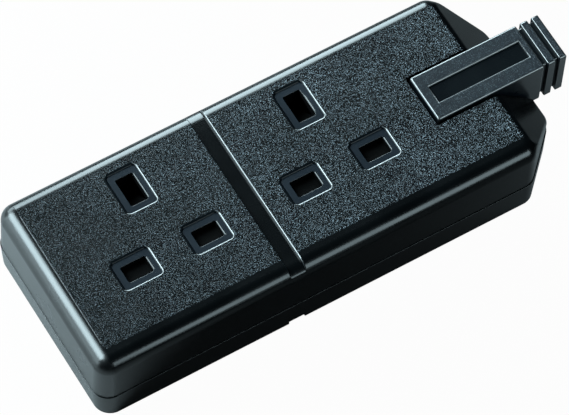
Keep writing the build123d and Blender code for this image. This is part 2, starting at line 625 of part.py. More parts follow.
def make_shutter_spring(outlet):
    """Coil between the shutter and the cover's post."""
    middle = SPRING_RADIUS - SPRING_WIRE / 2
    height = SPRING_LENGTH - SPRING_WIRE
    path = Helix(height / SPRING_TURNS, height, middle)
    section = Plane(path @ 0, z_dir=path % 0) * Rectangle(SPRING_WIRE, SPRING_WIRE)
    coil = sweep(section, path, is_frenet=True)
    start = SPRING_END_Y + SPRING_WIRE / 2
    return Pos(outlet, start, SPRING_Z) * Rot(-90, 0, 0) * coil


def make_shutter_retainer(outlet):
    """Plate that holds a shutter up against the ceiling, with ways for the pins."""
    half = SHUTTER_HALF_WIDTH + RUN_GAP + RAIL_WIDTH
    back = EARTH_Y + EARTH_SLOT_Y / 2 + RETAINER_HOLE_GAP
    plate = block(outlet - half, outlet + half, -RETAINER_Y, RETAINER_Y, RETAINER_BOTTOM, RETAINER_TOP)
    low = RETAINER_BOTTOM - PAST
    high = RETAINER_TOP + PAST
    for x, y, size_x, size_y in slots(outlet)[:2]:
        reach_x = size_x / 2 + RETAINER_HOLE_GAP
        reach_y = size_y / 2 + RETAINER_HOLE_GAP
        plate = plate - block(x - reach_x, x + reach_x, y - reach_y, y + reach_y, low, high)
    arm = SHUTTER_ARM_WIDTH / 2 + RETAINER_HOLE_GAP
    wedge_front = RAMP_TOP_Y - WEDGE_BACK - SHUTTER_STROKE - RETAINER_HOLE_GAP
    plate = plate - block(outlet - arm, outlet + arm, wedge_front, back, low, high)
    post = SPRING_POST_WIDTH / 2 + RUN_GAP
    post_back = SPRING_END_Y + RUN_GAP
    plate = plate - block(outlet - post, outlet + post, -RETAINER_Y - PAST, post_back, low, high)
    for x, y in peg_places(outlet):
        plate = plate - upright(x, y, low, high, PEG_RADIUS + LOOSE_GAP)
    return plate


def make_cable_sleeve():
    """Soft block with a bore for the cord, end ribs, collar and a roof over the clamp."""
    half = SLEEVE_WIDTH / 2
    sleeve = block(X_SLEEVE, X_SLEEVE_END, -half, half, SLEEVE_BOTTOM, SLEEVE_TOP)
    sleeve = fillet(sleeve.faces().sort_by(Axis.Z)[-1].edges(), SLEEVE_EDGE)
    collar = COLLAR_WIDTH / 2
    collar_top = SLEEVE_BOTTOM + COLLAR_HEIGHT
    sleeve = sleeve + block(COLLAR_X0, COLLAR_X1, -collar, collar, SLEEVE_BOTTOM, collar_top)
    tube = X_SLEEVE + TONGUE_LENGTH
    low = SLEEVE_BOTTOM - PAST
    side = half + PAST
    sleeve = sleeve - block(X_SLEEVE - PAST, tube, -side, side, low, SLEEVE_TOP - TONGUE_THICKNESS)
    sleeve = sleeve - along_x(tube - PAST, X_SLEEVE_END + PAST, 0, SLEEVE_BORE_Z, SLEEVE_BORE_RADIUS)
    mouth = Cone(SLEEVE_BORE_RADIUS, SLEEVE_BORE_RADIUS + SLEEVE_MOUTH, SLEEVE_MOUTH)
    sleeve = sleeve - Pos(X_SLEEVE_END - SLEEVE_MOUTH / 2, 0, SLEEVE_BORE_Z) * Rot(0, 90, 0) * mouth
    for count in (1, 2):
        x1 = X_SLEEVE_END - count * RIB_WIDTH - (count - 1) * RIB_GROOVE_WIDTH
        x0 = x1 - RIB_GROOVE_WIDTH
        ring = block(x0, x1, -side, side, low, SLEEVE_TOP + PAST)
        deep = RIB_GROOVE_DEPTH
        core = block(x0, x1, -half + deep, half - deep, SLEEVE_BOTTOM + deep, SLEEVE_TOP - deep)
        sleeve = sleeve - (ring - core)
    x0 = X_SLEEVE + PANEL_FROM_INNER_END
    x1 = x0 + PANEL_LENGTH
    wide = PANEL_WIDTH / 2
    return sleeve - block(x0, x1, -wide, wide, SLEEVE_TOP - PANEL_DEPTH, SLEEVE_TOP + PAST)


PIECES = {
    "top_cover": make_top_cover(),
    "base_cover": make_base_cover(),
    "cable_sleeve": make_cable_sleeve(),
    "cover_screws": make_cover_screws(),
    "shutter_left": make_shutter(LEFT_X),
    "shutter_right": make_shutter(RIGHT_X),
    "shutter_spring_left": make_shutter_spring(LEFT_X),
    "shutter_spring_right": make_shutter_spring(RIGHT_X),
    "shutter_retainer_left": make_shutter_retainer(LEFT_X),
    "shutter_retainer_right": make_shutter_retainer(RIGHT_X),
    "live_busbar": make_line_bar("live"),
    "neutral_busbar": make_line_bar("neutral"),
    "earth_busbar": make_earth_bar(),
    "live_terminal": make_terminal(LIVE_BAR_Y),
    "neutral_terminal": make_terminal(NEUTRAL_BAR_Y),
    "earth_terminal": make_terminal(EARTH_BAR_Y),
    "terminal_screws": make_terminal_screws(),
    "cord_clamp": make_cord_clamp(),
    "cord_clamp_screws": make_cord_clamp_screws(),
}

os.makedirs("parts", exist_ok=True)
for node, piece in PIECES.items():
    export_step(piece, f"parts/{node}.step")
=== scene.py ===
# %% [markdown]
# # A trailing socket with two outlets
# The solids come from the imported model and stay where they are. This script finishes them for a
# picture: it rounds the edges that catch the light, gives every piece its material, and sets up
# the floor, the lamps and the camera of a small product photograph. Lengths are in metres.

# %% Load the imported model
import json
import math

import bmesh
import bpy
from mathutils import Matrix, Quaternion, Vector


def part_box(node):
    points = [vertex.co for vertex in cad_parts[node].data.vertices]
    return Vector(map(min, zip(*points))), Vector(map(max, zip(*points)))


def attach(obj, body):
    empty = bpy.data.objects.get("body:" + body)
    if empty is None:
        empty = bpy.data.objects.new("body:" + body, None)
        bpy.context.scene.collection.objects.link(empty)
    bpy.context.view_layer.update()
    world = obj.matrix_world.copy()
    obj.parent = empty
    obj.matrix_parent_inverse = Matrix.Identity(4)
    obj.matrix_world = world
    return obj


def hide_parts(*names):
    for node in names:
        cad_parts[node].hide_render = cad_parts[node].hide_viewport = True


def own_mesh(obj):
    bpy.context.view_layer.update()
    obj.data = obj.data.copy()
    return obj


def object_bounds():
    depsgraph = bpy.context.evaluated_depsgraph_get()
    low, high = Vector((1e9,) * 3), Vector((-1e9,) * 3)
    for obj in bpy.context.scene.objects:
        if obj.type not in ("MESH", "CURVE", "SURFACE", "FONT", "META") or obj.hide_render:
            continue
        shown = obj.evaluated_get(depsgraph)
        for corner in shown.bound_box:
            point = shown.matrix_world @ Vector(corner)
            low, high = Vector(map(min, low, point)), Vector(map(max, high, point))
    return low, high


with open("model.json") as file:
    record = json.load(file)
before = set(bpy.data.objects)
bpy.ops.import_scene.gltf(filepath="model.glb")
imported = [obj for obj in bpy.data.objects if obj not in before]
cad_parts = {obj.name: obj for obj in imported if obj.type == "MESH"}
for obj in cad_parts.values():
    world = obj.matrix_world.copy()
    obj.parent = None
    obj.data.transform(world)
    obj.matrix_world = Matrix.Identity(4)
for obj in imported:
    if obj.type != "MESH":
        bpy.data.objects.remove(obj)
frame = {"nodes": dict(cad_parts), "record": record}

MM = 0.001
cad_low, cad_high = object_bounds()
print("packed model:", [round(side / MM, 2) for side in cad_high - cad_low], "mm")

# %% [markdown]
# ## Sizes read from the model
# Nothing is measured twice. The heights and ends that the finish needs are read from the boxes of
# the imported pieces, so the script still fits when the model is packed again.

# %% Heights and ends
cover_low, cover_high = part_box("top_cover")
sleeve_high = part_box("cable_sleeve")[1]
TOP = cover_high.z
LEFT_END = cover_low.x
FRONT_SIDE = cover_low.y
print("top face at", round(TOP / MM, 2), "mm")

# %% [markdown]
# ## A clean copy of a moulded piece
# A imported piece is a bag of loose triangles, good for a simulation but with knife-sharp edges.
# Real mouldings have no sharp edges: every edge has a small radius, and that radius is what draws
# the thin bright lines round the slots in the photograph. The copy is joined into one skin, its flat
# triangles are dissolved into whole faces, and chosen edges are bevelled. A bevel operator is
# used because it acts on selected edges only, so the large roundings of the model stay as they are.

# %% Copy, join and round
JOIN_WITHIN = 0.002 * MM
FLAT_WITHIN = math.radians(0.2)
SHARP_OVER = math.radians(40)
SMOOTH_UNDER = math.radians(40)
ROUNDING_STEPS = 4
# Material places of a skin: body, rim, inside, floor of a frame, shaded rim; the rim carries a painted
# highlight, the shaded rim a painted shade.
BODY_PLACE, RIM_PLACE, INSIDE_PLACE, FRAME_PLACE, SHADE_PLACE = range(5)


def clean_copy(node, name):
    """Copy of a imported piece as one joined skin, ready for edge work."""
    bpy.ops.object.select_all(action="DESELECT")
    piece = bpy.data.objects.new(name, frame["nodes"][node].data.copy())
    bpy.context.scene.collection.objects.link(piece)
    bpy.context.view_layer.objects.active = piece
    piece.select_set(True)
    bpy.ops.object.mode_set(mode="EDIT")
    bpy.ops.mesh.select_all(action="SELECT")
    bpy.ops.mesh.customdata_custom_splitnormals_clear()
    bpy.ops.mesh.remove_doubles(threshold=JOIN_WITHIN)
    bpy.ops.mesh.dissolve_limited(angle_limit=FLAT_WITHIN, delimit={"NORMAL"})
    bpy.ops.object.mode_set(mode="OBJECT")
    piece.data.materials.append(None)
    return piece


def round_edges(piece, chosen, radius, place):
    """Bevel the sharp outward edges that the test accepts, in the finish of one material place."""
    bpy.ops.object.mode_set(mode="EDIT")
    bpy.ops.mesh.select_mode(type="EDGE")
    bpy.ops.mesh.select_all(action="DESELECT")
    skin = bmesh.from_edit_mesh(piece.data)
    count = 0
    for edge in skin.edges:
        if len(edge.link_faces) != 2 or not edge.is_convex:
            continue
        if edge.calc_face_angle() < SHARP_OVER:
            continue
        ends = [vertex.co for vertex in edge.verts]
        if chosen(*ends):
            edge.select_set(True)
            count += 1
    skin.select_flush_mode()
    bmesh.update_edit_mesh(piece.data)
    bpy.ops.mesh.bevel(
        offset=radius, segments=ROUNDING_STEPS, affect="EDGES", clamp_overlap=False, material=place
    )
    bpy.ops.object.mode_set(mode="OBJECT")
    print(piece.name, "rounded", count, "edges to", round(radius / MM, 2), "mm")


def finish_skin(piece):
    """Smooth shading that keeps corners crisp and large faces flat."""
    bpy.ops.object.shade_smooth_by_angle(angle=SMOOTH_UNDER)
    flat = piece.modifiers.new("flat_faces", "WEIGHTED_NORMAL")
    flat.keep_sharp = True
    bpy.ops.object.modifier_apply(modifier=flat.name)
    print(piece.name, "has", len(piece.data.polygons), "faces")


# %% [markdown]
# ## The top cover
# The six slots sit in shallow smooth frames. Light from the left runs along their rims, so the rim
# where a frame breaks the top face is rounded, and so are the opening in the floor of each frame and the
# two sides of the cross groove. One side of an opening faces the light and has a larger radius. The record
# says where the slots are, and the groove lies midway between the outlets, so the edges can be found
# by their place.

# %% Where the slots and the groove are
FRAME_DEPTH = 0.5 * MM
FRAME_REACH = 3.2 * MM
GROOVE_WIDTH = 4.6 * MM
GROOVE_RIM_DROP = 2.0 * MM
LEVEL_WITHIN = 0.01 * MM

slots = [[Vector(corner) for corner in entry["box_m"]] for entry in frame["record"]["physics"]["openings"]]
GROOVE_MIDDLE = sum(low.x + high.x for low, high in slots) / (2 * len(slots))


def near_slot(point, low, high):
    """Near enough to one slot to lie on its frame."""
    across = low.y - FRAME_REACH < point.y < high.y + FRAME_REACH
    return across and low.x - FRAME_REACH < point.x < high.x + FRAME_REACH


def by_a_slot(point):
    """Near enough to any slot to lie on its frame."""
    return any(near_slot(point, low, high) for low, high in slots)


def slot_edge_at(level):
    """Test for edges round a slot that lie level at one height."""
    return lambda a, b: max(abs(a.z - level), abs(b.z - level)) < LEVEL_WITHIN and by_a_slot(a)


def on_lit_side(a, b):
    """Test for edges of an opening that face the key lamp, at its cable end."""
    if not slot_edge_at(TOP - FRAME_DEPTH)(a, b) or abs(a.x - b.x) > LEVEL_WITHIN:
        return False
    middles = [(low.x + high.x) / 2 for low, high in slots]
    nearest = min(middles, key=lambda middle: abs(middle - a.x))
    return a.x > nearest


def on_groove_side(a, b):
    """Test for edges along the two rims of the groove."""
    away = [abs(abs(point.x - GROOVE_MIDDLE) - GROOVE_WIDTH / 2) for point in (a, b)]
    return max(away) < LEVEL_WITHIN and min(a.z, b.z) > TOP - GROOVE_RIM_DROP


print(len(slots), "slots, groove at", round(GROOVE_MIDDLE / MM, 2), "mm")

# %% [markdown]
# The rims look wider where they face away from the light, on the sides towards the closed end and the
# back: there the top face sinks into the frame over almost a millimetre and stays black, helped by a darker
# finish given later as painted shade. After the bevel, the points of the rim that lie outside the frame's
# wall on those sides are scaled away from the wall.

# %% Widen a rim on one side
RIM_STRETCH = 1.9


def widen_rim(piece, slot, axis, outwards):
    """Scale the rim of one frame away from its wall, on one side."""
    level = TOP - FRAME_DEPTH
    mine = [vertex.co for vertex in piece.data.vertices if near_slot(vertex.co, *slot)]
    wall = max(outwards * point[axis] for point in mine if abs(point.z - level) < LEVEL_WITHIN)
    centre = [0, 0, 0]
    centre[axis] = outwards * wall
    scale = [1, 1, 1]
    scale[axis] = RIM_STRETCH
    bpy.ops.object.mode_set(mode="EDIT")
    bpy.ops.mesh.select_mode(type="VERT")
    bpy.ops.mesh.select_all(action="DESELECT")
    skin = bmesh.from_edit_mesh(piece.data)
    for vertex in skin.verts:
        outside = outwards * vertex.co[axis] > wall + LEVEL_WITHIN
        if outside and vertex.co.z > level and near_slot(vertex.co, *slot):
            vertex.select_set(True)
    bmesh.update_edit_mesh(piece.data)
    bpy.ops.transform.resize(value=scale, center_override=centre)
    bpy.ops.object.mode_set(mode="OBJECT")


# %% Round the frames, the openings and the groove
RIM_RADIUS = 0.45 * MM
LIT_RADIUS = 0.6 * MM
OPENING_RADIUS = 0.15 * MM
GROOVE_RADIUS = 0.35 * MM

top_cover = clean_copy("top_cover", "top_cover_skin")
round_edges(top_cover, slot_edge_at(TOP), RIM_RADIUS, RIM_PLACE)
for slot in slots:
    widen_rim(top_cover, slot, axis=0, outwards=-1)
    widen_rim(top_cover, slot, axis=1, outwards=1)
round_edges(top_cover, on_lit_side, LIT_RADIUS, BODY_PLACE)
round_edges(top_cover, slot_edge_at(TOP - FRAME_DEPTH), OPENING_RADIUS, BODY_PLACE)
round_edges(top_cover, on_groove_side, GROOVE_RADIUS, RIM_PLACE)
finish_skin(top_cover)
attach(top_cover, "housing")
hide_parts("top_cover")

# %% [markdown]
# ## The base
# The base stands a hair outside the cover where the two mouldings meet. On the real socket that
# ledge is not a dark crack but a thin line of light, because its edge is rounded, so the outer edge at
# the height of the joint is bevelled.

# %% Round the ledge of the base
LEDGE_RADIUS = 0.1 * MM
JOINT_HEIGHT = cover_low.z


def on_ledge(a, b):
    """Test for edges at the height of the joint."""
    return max(abs(a.z - JOINT_HEIGHT), abs(b.z - JOINT_HEIGHT)) < LEVEL_WITHIN


base_cover = clean_copy("base_cover", "base_cover_skin")
round_edges(base_cover, on_ledge, LEDGE_RADIUS, BODY_PLACE)
finish_skin(base_cover)
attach(base_cover, "housing")
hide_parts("base_cover")

# %% [markdown]
# ## The cable sleeve
# The sleeve is a softer moulding. Its ribs and the rim of the long recess have blunt edges that
# shine along their length, so all its sharp outward edges are rounded a little, the ribs less.

# %% Round the sleeve
SLEEVE_RADIUS = 0.45 * MM
RIB_RADIUS = 0.25 * MM
RIBS_LENGTH = 6.5 * MM


def on_ribs(a, b):
    """Test for edges of the two ribs at the end."""
    return min(a.x, b.x) > sleeve_high.x - RIBS_LENGTH


def off_ribs(a, b):
    """Test for edges of the rest of the sleeve."""
    return not on_ribs(a, b)


sleeve = clean_copy("cable_sleeve", "cable_sleeve_skin")
round_edges(sleeve, off_ribs, SLEEVE_RADIUS, RIM_PLACE)
round_edges(sleeve, on_ribs, RIB_RADIUS, RIM_PLACE)
finish_skin(sleeve)
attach(sleeve, "housing")
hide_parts("cable_sleeve")

# %% [markdown]
# ## The shutter springs
# When a plug goes in, the shutter slides to the front and its coil is pressed together. A copy of
# each coil is made as one smooth skin and hung on the housing.

# %% Copies of the shutter springs
SPRINGS = {"shutter_spring_left": "left_shutter_slide", "shutter_spring_right": "right_shutter_slide"}


def follow_shutter(node):
    """Copy of a coil as one smooth skin on the housing."""
    coil = clean_copy(node, node + "_coil")
    finish_skin(coil)
    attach(coil, "housing")
    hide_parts(node)
    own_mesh(coil)
    return coil


coils = [follow_shutter(node) for node, joint_name in SPRINGS.items()]

# %% [markdown]
# ## Shared effects
# Two effects are used by more than one material, so each is a node group. A few small functions add
# the nodes and their links, so that a group or a material reads almost like a formula.

# %% Small functions for node trees
def new_group(name, inputs, outputs):
    """Empty shader node group with float and vector sockets."""
    group = bpy.data.node_groups.new(name, "ShaderNodeTree")
    for label, kind, value in inputs:
        socket = group.interface.new_socket(name=label, in_out="INPUT", socket_type=kind)
        if value is not None:
            socket.default_value = value
    for label in outputs:
        group.interface.new_socket(name=label, in_out="OUTPUT", socket_type="NodeSocketFloat")
    entry = group.nodes.new("NodeGroupInput")
    leaving = group.nodes.new("NodeGroupOutput")
    return group, entry, leaving


def add_math(tree, operation, first, second, clamp=False):
    """Math node fed by sockets or plain numbers."""
    node = tree.nodes.new("ShaderNodeMath")
    node.operation = operation
    node.use_clamp = clamp
    for place, value in enumerate((first, second)):
        if isinstance(value, (int, float)):
            node.inputs[place].default_value = value
        else:
            tree.links.new(value, node.inputs[place])
    return node.outputs[0]


def add_noise(tree, vector, scale, detail, roughness):
    """Noise texture on a vector socket and a scale socket."""
    noise = tree.nodes.new("ShaderNodeTexNoise")
    noise.inputs["Detail"].default_value = detail
    noise.inputs["Roughness"].default_value = roughness
    tree.links.new(vector, noise.inputs["Vector"])
    tree.links.new(scale, noise.inputs["Scale"])
    return noise.outputs["Fac"]


def add_range(tree, value, low, high, to_low=0.0, to_high=1.0):
    """Clamped remap of a socket from one range to another."""
    node = tree.nodes.new("ShaderNodeMapRange")
    tree.links.new(value, node.inputs["Value"])
    node.inputs["From Min"].default_value = low
    node.inputs["From Max"].default_value = high
    node.inputs["To Min"].default_value = to_low
    node.inputs["To Max"].default_value = to_high
    return node.outputs["Result"]


def add_split(tree, vector):
    """X, Y and Z of a vector socket."""
    node = tree.nodes.new("ShaderNodeSeparateXYZ")
    tree.links.new(vector, node.inputs["Vector"])
    return node.outputs


# %% [markdown]
# The grain group is the pebbled texture etched into a mould: a cell of a Voronoi texture is flat or a low
# dome, some higher than others, and the middle of some is painted pale, a painted glint that stands in for
# the light the grain catches. The domes could be real bumps in the mesh, but there are tens of thousands of
# them, each finer than a pixel of the picture, so a height for a bump node does the work.

# %% Grain group
USUAL_PEBBLES = 2000.0
PEBBLE_REACH = 0.65
GLINT_PAINT_CORE = 0.1
GLINT_PAINT_REACH = 0.5
FLAT_SHARE = 0.6
UNGLINTED_SHARE = 0.65

grain_group, entry, leaving = new_group(
    "moulded_grain",
    [("Vector", "NodeSocketVector", None), ("Pebbles per metre", "NodeSocketFloat", USUAL_PEBBLES)],
    ["Height", "Painted glint"],
)
cells = grain_group.nodes.new("ShaderNodeTexVoronoi")
grain_group.links.new(entry.outputs["Vector"], cells.inputs["Vector"])
grain_group.links.new(entry.outputs["Pebbles per metre"], cells.inputs["Scale"])
away = cells.outputs["Distance"]
chance = grain_group.nodes.new("ShaderNodeSeparateColor")
grain_group.links.new(cells.outputs["Color"], chance.inputs["Color"])
tallness = add_range(grain_group, chance.outputs["Red"], FLAT_SHARE, 1)
glint_strength = add_range(grain_group, chance.outputs["Green"], UNGLINTED_SHARE, 1)
# Pale middles of some cells: a painted glint that stands in for light caught by the grain.
core = add_range(grain_group, away, GLINT_PAINT_REACH, GLINT_PAINT_CORE)
dome = add_range(grain_group, add_math(grain_group, "MULTIPLY", away, away), PEBBLE_REACH**2, 0)
grain_group.links.new(add_math(grain_group, "MULTIPLY", dome, tallness), leaving.inputs["Height"])
grain_group.links.new(add_math(grain_group, "MULTIPLY", core, glint_strength), leaving.inputs["Painted glint"])
print(grain_group.name, "has", len(grain_group.nodes), "nodes")

# %% [markdown]
# The cloud group is a slow drift that keeps a large face from looking painted. It is a soft noise whose
# middle range is stretched to run from nought to one.

# %% Cloud group
CLOUDS = 60.0
CLOUD_DETAIL = 3.0
CLOUD_ROUGHNESS = 0.5
CLOUD_LOW = 0.3
CLOUD_HIGH = 0.7

cloud_group, entry, leaving = new_group(
    "slow_cloud",
    [("Vector", "NodeSocketVector", None), ("Clouds per metre", "NodeSocketFloat", CLOUDS)],
    ["Cloud"],
)
cloud = add_noise(
    cloud_group,
    entry.outputs["Vector"],
    entry.outputs["Clouds per metre"],
    CLOUD_DETAIL,
    CLOUD_ROUGHNESS,
)
cloud_group.links.new(add_range(cloud_group, cloud, CLOUD_LOW, CLOUD_HIGH), leaving.inputs["Cloud"])
print(cloud_group.name, "has", len(cloud_group.nodes), "nodes")

# %% [markdown]
# ## Plain finishes
# Every material starts the same way: a Principled shader, object coordinates, a cloud that
# drifts the colour and the roughness a little, and a grain that lifts the surface through a bump.
# The values come from the finish of the piece.

# %% Base recipe of a material
def place_group(tree, group, vector, label, value):
    """Group node on a vector, with its one value set."""
    node = tree.nodes.new("ShaderNodeGroup")
    node.node_tree = group
    tree.links.new(vector, node.inputs["Vector"])
    node.inputs[label].default_value = value
    return node


def mix_colours(tree, factor, first, second):
    """Colour between two colours."""
    mix = tree.nodes.new("ShaderNodeMix")
    mix.data_type = "RGBA"
    tree.links.new(factor, mix.inputs["Factor"])
    mix.inputs["A"].default_value = first
    mix.inputs["B"].default_value = second
    return mix.outputs["Result"]


def add_bump(tree, height, depth):
    """Bump node at full strength, whose height of one stands for the given depth."""
    bump = tree.nodes.new("ShaderNodeBump")
    bump.inputs["Strength"].default_value = 1
    bump.inputs["Distance"].default_value = depth
    tree.links.new(height, bump.inputs["Height"])
    return bump.outputs["Normal"]


def moulded_finish(name, dark, light, rough, pebbles, depth, metal=0.0, gloss=0.5):
    """Material whose colour and roughness drift between two values each, with a fine bump."""
    material = bpy.data.materials.new(name)
    material.use_nodes = True
    tree = material.node_tree
    shader = tree.nodes["Principled BSDF"]
    shader.inputs["Metallic"].default_value = metal
    shader.inputs["Specular IOR Level"].default_value = gloss
    coordinates = tree.nodes.new("ShaderNodeTexCoord").outputs["Object"]
    drift = place_group(tree, cloud_group, coordinates, "Clouds per metre", CLOUDS)
    drift.name = "drift"
    cloud = drift.outputs["Cloud"]
    grain = place_group(tree, grain_group, coordinates, "Pebbles per metre", pebbles)
    tree.links.new(mix_colours(tree, cloud, (*dark, 1), (*light, 1)), shader.inputs["Base Color"])
    tree.links.new(add_range(tree, cloud, 0, 1, *rough), shader.inputs["Roughness"])
    tree.links.new(add_bump(tree, grain.outputs["Height"], depth), shader.inputs["Normal"])
    return material


def dress(pieces, material):
    """Give the pieces one material all over."""
    for piece in pieces:
        if not piece.material_slots:
            piece.data.materials.append(material)
        for place in piece.material_slots:
            place.material = material


# %% Black plastics of the outside
RIM_IOR = 2.3

smooth_black = moulded_finish(
    "housing_satin",
    dark=(0.0006, 0.0010, 0.0013),
    light=(0.0008, 0.0014, 0.0018),
    rough=(0.20, 0.24),
    pebbles=1500.0,
    depth=0.003 * MM,
)
frame_black = moulded_finish(
    "frame_satin",
    dark=(0.003, 0.006, 0.010),
    light=(0.004, 0.008, 0.013),
    rough=(0.28, 0.32),
    pebbles=1500.0,
    depth=0.003 * MM,
)
sleeve_black = moulded_finish(
    "sleeve_satin",
    dark=(0.003, 0.005, 0.008),
    light=(0.005, 0.008, 0.011),
    rough=(0.27, 0.32),
    pebbles=1300.0,
    depth=0.004 * MM,
)
# Rim finish: a higher IOR for a polish, and a colour lighter than the housing's body as a painted
# highlight.
rim_highlight_finish = moulded_finish(
    "rim_polish_with_painted_highlight",
    dark=(0.006, 0.008, 0.009),
    light=(0.008, 0.010, 0.012),
    rough=(0.30, 0.36),
    pebbles=1500.0,
    depth=0.002 * MM,
)
rim_highlight_finish.node_tree.nodes["Principled BSDF"].inputs["IOR"].default_value = RIM_IOR
# Painted shade: a darker, duller finish for rims turned away from the light and for the sleeve's recess
# floors.
recess_and_rim_shade = moulded_finish(
    "recess_with_painted_shade",
    dark=(0.0015, 0.0025, 0.0035),
    light=(0.002, 0.0035, 0.0045),
    rough=(0.25, 0.30),
    pebbles=1500.0,
    depth=0.003 * MM,
    gloss=0.2,
)
outside_finishes = (smooth_black, frame_black, sleeve_black, rim_highlight_finish, recess_and_rim_shade)
print("outside finishes:", [finish.name for finish in outside_finishes])

# %% Plastics and metals of the inside
shutter_black = moulded_finish(
    "shutter_satin",
    dark=(0.002, 0.002, 0.002),
    light=(0.003, 0.003, 0.003),
    rough=(0.50, 0.60),
    pebbles=1500.0,
    depth=0.006 * MM,
    gloss=0.05,
)
retainer_black = moulded_finish(
    "retainer_satin",
    dark=(0.004, 0.004, 0.005),
    light=(0.006, 0.006, 0.007),
    rough=(0.45, 0.55),
    pebbles=1200.0,
    depth=0.006 * MM,
    gloss=0.1,
)
brass = moulded_finish(
    "stamped_brass",
    dark=(0.66, 0.49, 0.23),
    light=(0.74, 0.57, 0.30),
    rough=(0.22, 0.38),
    pebbles=900.0,
    depth=0.004 * MM,
    metal=1.0,
)
zinc = moulded_finish(
    "zinc_plate",
    dark=(0.56, 0.56, 0.55),
    light=(0.66, 0.66, 0.64),
    rough=(0.25, 0.40),
    pebbles=1500.0,
    depth=0.004 * MM,
    metal=1.0,
)
wire = moulded_finish(
    "spring_wire",
    dark=(0.44, 0.44, 0.44),
    light=(0.54, 0.54, 0.54),
    rough=(0.25, 0.35),
    pebbles=2500.0,
    depth=0.002 * MM,
    metal=1.0,
)
inside_finishes = (shutter_black, retainer_black, brass, zinc, wire)
print("inside finishes:", [finish.name for finish in inside_finishes])

# %% [markdown]
# ## The housing: grained panels, smooth edges
# The flat of the top is grained; the rounded edges, the walls, the groove and the slot frames are
# smooth. A mould maker masks the smooth areas and etches the rest. The mask here is a rectangle in
# object coordinates with a lower limit in height, so the sunken frames and the groove stay smooth by
# themselves. At the back the grain runs out slowly, across the start of the rounding.

# %% Mask of the grained panels
PANEL_LEFT = LEFT_END + 4.6 * MM
PANEL_RIGHT = cover_high.x - 13.4 * MM
PANEL_FRONT = FRONT_SIDE + 6.0 * MM
PANEL_BACK = cover_high.y - 4.1 * MM
PANEL_FLOOR = TOP - 0.12 * MM
PANEL_EDGE = 0.25 * MM
BACK_FADE = 1.0 * MM
PANEL_STEP = 0.05 * MM


def panel_mask(tree, coordinates):
    """One on the grained panels, nought on everything else, with a slope between."""
    place = add_split(tree, coordinates)
    mask = add_range(tree, place["X"], PANEL_LEFT, PANEL_LEFT + PANEL_EDGE)
    sides = (
        ("X", PANEL_RIGHT, PANEL_RIGHT - PANEL_EDGE),
        ("Y", PANEL_FRONT, PANEL_FRONT + PANEL_EDGE),
        ("Y", PANEL_BACK, PANEL_BACK - BACK_FADE),
        ("Z", PANEL_FLOOR - PANEL_STEP, PANEL_FLOOR),
    )
    for axis, outside, inside in sides:
        side = add_range(tree, place[axis], outside, inside)
        mask = add_math(tree, "MULTIPLY", mask, side)
    return mask


STEP_RISE = 1.7
STEP_FADE = 3.0 * MM


def left_step(tree, coordinates):
    """Rise at the panels' left edge, in pebble heights, that fades out before the front and the back."""
    place = add_split(tree, coordinates)
    step = add_range(tree, place["X"], PANEL_LEFT, PANEL_LEFT + PANEL_EDGE, 0, STEP_RISE)
    fades = ((PANEL_FRONT, PANEL_FRONT + STEP_FADE), (PANEL_BACK, PANEL_BACK - STEP_FADE))
    for outside, inside in fades:
        fade = add_range(tree, place["Y"], outside, inside)
        step = add_math(tree, "MULTIPLY", step, fade)
    return step


print("grained panels from", round(PANEL_LEFT / MM, 1), "to", round(PANEL_RIGHT / MM, 1), "mm")

# %% [markdown]
# The grained finish is the smooth black with a second bump where the mask is one. The pebbles give the
# bump its height, with a small step at the left edge that draws a thin line of light. The roughness
# changes, and pale painted glints lighten the colour in place of light caught by the grain. The light is
# a little stronger towards the cable end and falls in soft patches, so the painted glints grow stronger
# along the length and drift with the cloud.

# %% Grain over a smooth finish
# Colour of the painted glints on the grain.
GLINT_PAINT_COLOUR = (0.60, 0.71, 0.80, 1)
GLINT_LEAST = 0.6
GLINT_MOST = 2.0
CLOUD_LEAST = 0.5


def grain_over(smooth, name, make_mask, pebbles, depth, rough, share, make_step=None):
    """Copy of a smooth finish with pebbles where the mask is one."""
    material = smooth.copy()
    material.name = name
    tree = material.node_tree
    shader = tree.nodes["Principled BSDF"]
    coordinates = tree.nodes["Texture Coordinate"].outputs["Object"]
    mask = make_mask(tree, coordinates)
    grain = place_group(tree, grain_group, coordinates, "Pebbles per metre", pebbles)

    height = add_math(tree, "MULTIPLY", grain.outputs["Height"], mask)
    if make_step:
        height = add_math(tree, "ADD", height, make_step(tree, coordinates))
    bump = add_bump(tree, height, depth)
    tree.links.new(shader.inputs["Normal"].links[0].from_socket, bump.node.inputs["Normal"])
    tree.links.new(bump, shader.inputs["Normal"])

    mixed = tree.nodes.new("ShaderNodeMix")
    tree.links.new(mask, mixed.inputs["Factor"])
    tree.links.new(shader.inputs["Roughness"].links[0].from_socket, mixed.inputs["A"])
    mixed.inputs["B"].default_value = rough
    tree.links.new(mixed.outputs["Result"], shader.inputs["Roughness"])

    # Painted light: the painted glints grow stronger towards the cable end and drift with the cloud.
    cloud = tree.nodes["drift"].outputs["Cloud"]
    along = add_split(tree, coordinates)["X"]
    glint_strength = add_range(tree, along, LEFT_END, cover_high.x, share * GLINT_LEAST, share * GLINT_MOST)
    glint_strength = add_math(tree, "MULTIPLY", glint_strength, add_range(tree, cloud, 0, 1, CLOUD_LEAST, 1))
    painted_glint = add_math(tree, "MULTIPLY", grain.outputs["Painted glint"], mask)
    paleness = add_math(tree, "MULTIPLY", painted_glint, glint_strength, clamp=True)
    glinted_colour = mix_colours(tree, paleness, GLINT_PAINT_COLOUR, GLINT_PAINT_COLOUR)
    tree.links.new(shader.inputs["Base Color"].links[0].from_socket, glinted_colour.node.inputs["A"])
    tree.links.new(glinted_colour, shader.inputs["Base Color"])
    print(name, "has", len(tree.nodes), "nodes")
    return material


